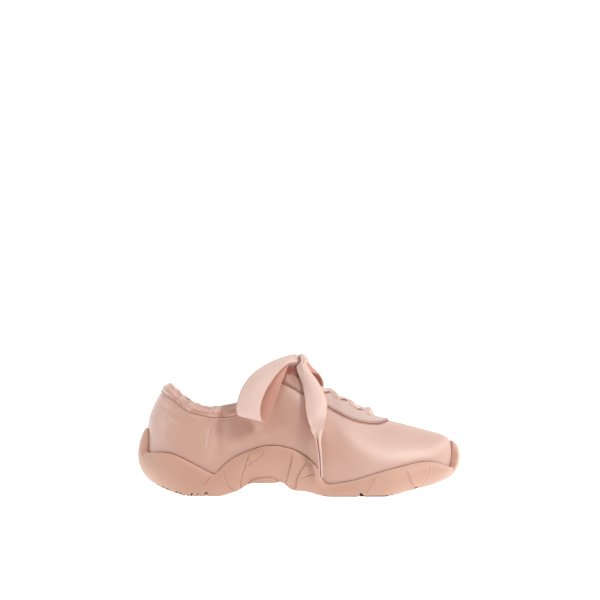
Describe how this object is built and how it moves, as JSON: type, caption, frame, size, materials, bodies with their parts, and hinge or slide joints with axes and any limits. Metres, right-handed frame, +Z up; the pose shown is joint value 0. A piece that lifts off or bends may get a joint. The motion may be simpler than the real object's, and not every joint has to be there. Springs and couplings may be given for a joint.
{
  "type": "ballet sneaker",
  "caption": "Right-foot ballet sneaker: hollow padded satin upper, elastic collar, stitched lace stay, ribbon lacing tied in a bow, and a moulded rubber sole with raised arch and toe spring.",
  "frame": {"origin": "on the ground, under the middle of the shoe's length and width", "axes": "+X from heel to toe, +Z up, -Y towards the outer side of the foot"},
  "size_m": [0.2639, 0.105, 0.1153],
  "materials": {
    "satin": "padded pink satin, soft sheen",
    "lining": "matte brushed lining",
    "rubber": "matte moulded rubber and foam",
    "ribbon": "light pink satin ribbon"
  },
  "bodies": {
    "root": {"sole": "rubber", "upper": "satin", "insole": "lining", "tongue": "satin", "collar_casing": "satin", "lace_stay": "satin", "lace_crossings": "ribbon", "bow_knot": "ribbon", "bow_loop_near": "ribbon", "bow_loop_far": "ribbon", "bow_end_near": "ribbon", "bow_end_far": "ribbon"}
  },
  "joints": []
}
